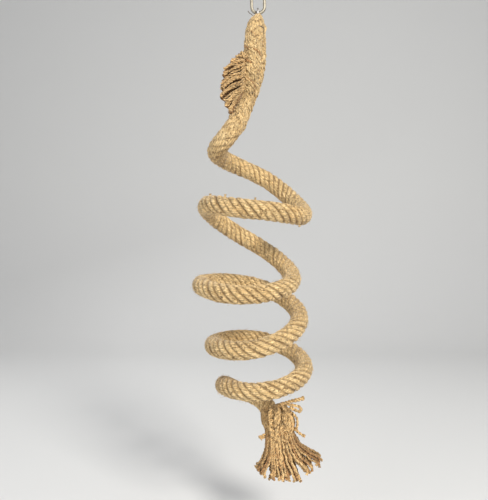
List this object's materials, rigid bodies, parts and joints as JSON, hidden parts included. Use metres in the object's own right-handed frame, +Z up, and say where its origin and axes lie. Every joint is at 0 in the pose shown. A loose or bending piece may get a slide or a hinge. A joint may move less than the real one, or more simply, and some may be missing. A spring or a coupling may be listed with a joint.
{
  "type": "hanging spiral rope",
  "caption": "Open spiral of thick jute rope over a stiff core wire, hung from a small quick link, with a frayed tuft at the folded top and a frayed tassel below.",
  "frame": {"origin": "inside of the quick link's top bow, the point that hangs on a hook or ring", "axes": "+Z up, along the hang; the quick link lies in the XZ plane, its nut towards +X; +Y to the back, away from the tuft"},
  "size_m": [0.1433, 0.1194, 0.5565],
  "materials": {
    "link_steel": "satin",
    "core_steel": "satin",
    "tie_wire": "satin",
    "jute_rope": "matte",
    "jute_yarn": "matte"
  },
  "bodies": {
    "quick_link": {"quick_link_body": "link_steel"},
    "link_nut": {"quick_link_nut": "link_steel"},
    "rope_top": {"wire_eye": "core_steel", "core_wire": "core_steel", "rope_eye": "jute_rope", "rope_folded_end": "jute_rope", "rope_neck": "jute_rope", "crown_tie": "tie_wire", "upper_tie": "tie_wire", "lower_tie": "tie_wire", "tuft_front_yarns": "jute_yarn", "tuft_back_yarns": "jute_yarn"},
    "turn_1": {"rope_turn_1": "jute_rope"},
    "turn_2": {"rope_turn_2": "jute_rope"},
    "turn_3": {"rope_turn_3": "jute_rope"},
    "turn_4": {"rope_turn_4": "jute_rope"},
    "rope_tail_body": {"rope_tail": "jute_rope", "tassel_neck": "jute_yarn", "tassel_skirt": "jute_yarn", "tassel_crown": "jute_yarn", "stray_yarns": "jute_yarn", "fringe_yarns": "jute_yarn"}
  },
  "joints": [
    {"name": "eye_swing", "type": "hinge", "parent": "quick_link", "child": "rope_top", "pos_m": [0, 0, -0.03175], "axis": [1, 0, 0], "range_deg": [-60, 60]},
    {"name": "nut_travel", "type": "slide", "parent": "quick_link", "child": "link_nut", "axis": [0, 0, -1], "range_m": [0, 0.0085]},
    {"name": "coil_bounce", "type": "slide", "parent": "rope_top", "child": "rope_tail_body", "axis": [0, 0, -1], "range_m": [-0.03, 0.06], "stiffness_N_per_m": 188, "springref_m": -0.00525, "deforming": ["core_wire"]},
    {"name": "turn_1_ride", "type": "slide", "parent": "rope_top", "child": "turn_1", "axis": [0, 0, -1], "range_m": [-0.0025, 0.005]},
    {"name": "turn_2_ride", "type": "slide", "parent": "rope_top", "child": "turn_2", "axis": [0, 0, -1], "range_m": [-0.0115, 0.023]},
    {"name": "turn_3_ride", "type": "slide", "parent": "rope_top", "child": "turn_3", "axis": [0, 0, -1], "range_m": [-0.0215, 0.0425]},
    {"name": "turn_4_ride", "type": "slide", "parent": "rope_top", "child": "turn_4", "axis": [0, 0, -1], "range_m": [-0.0275, 0.055]}
  ],
  "couplings": [
    {"joint": "turn_1_ride", "follows": "coil_bounce", "ratio": 0.08},
    {"joint": "turn_2_ride", "follows": "coil_bounce", "ratio": 0.38},
    {"joint": "turn_3_ride", "follows": "coil_bounce", "ratio": 0.7},
    {"joint": "turn_4_ride", "follows": "coil_bounce", "ratio": 0.91}
  ]
}
